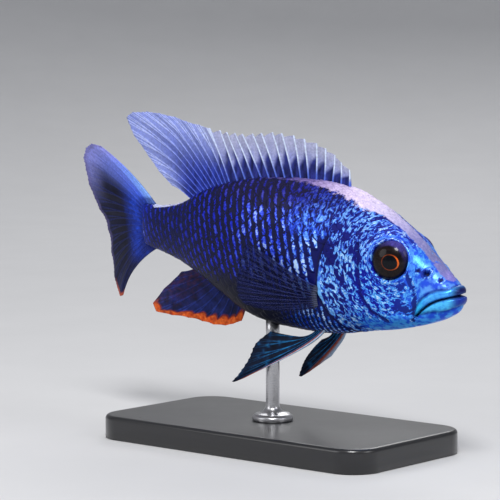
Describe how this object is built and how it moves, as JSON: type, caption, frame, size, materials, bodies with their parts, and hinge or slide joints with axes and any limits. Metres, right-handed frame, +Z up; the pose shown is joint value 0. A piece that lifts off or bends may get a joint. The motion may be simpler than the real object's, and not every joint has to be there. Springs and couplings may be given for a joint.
{
  "type": "electric blue hap cichlid display model",
  "caption": "Life-size blue male cichlid swimming with spread fins, held over a flat base by a slim rod.",
  "frame": {"origin": "centre of the flat underside of the stand's base", "axes": "+X the way the fish heads, +Y its left side, +Z up"},
  "size_m": [0.1463, 0.052, 0.0964],
  "materials": {
    "skin": "painted scales, moist satin gloss",
    "eye": "clear wet gloss over a dark brown iris",
    "fin": "thin ribbed membrane, satin",
    "stand_base": "satin black",
    "stand_rod": "brushed"
  },
  "bodies": {
    "root": {"head": "skin", "upper_jaw": "skin", "lower_jaw": "skin", "gill_cover_left": "skin", "gill_cover_right": "skin", "eye_left": "eye", "eye_right": "eye", "trunk": "skin", "tail_stem": "skin", "dorsal_fin": "fin", "anal_fin": "fin", "tail_fin": "fin", "pectoral_fin_left": "fin", "pectoral_fin_right": "fin", "pelvic_fin_left": "fin", "pelvic_fin_right": "fin", "stand_base": "stand_base", "stand_rod": "stand_rod"}
  },
  "joints": []
}
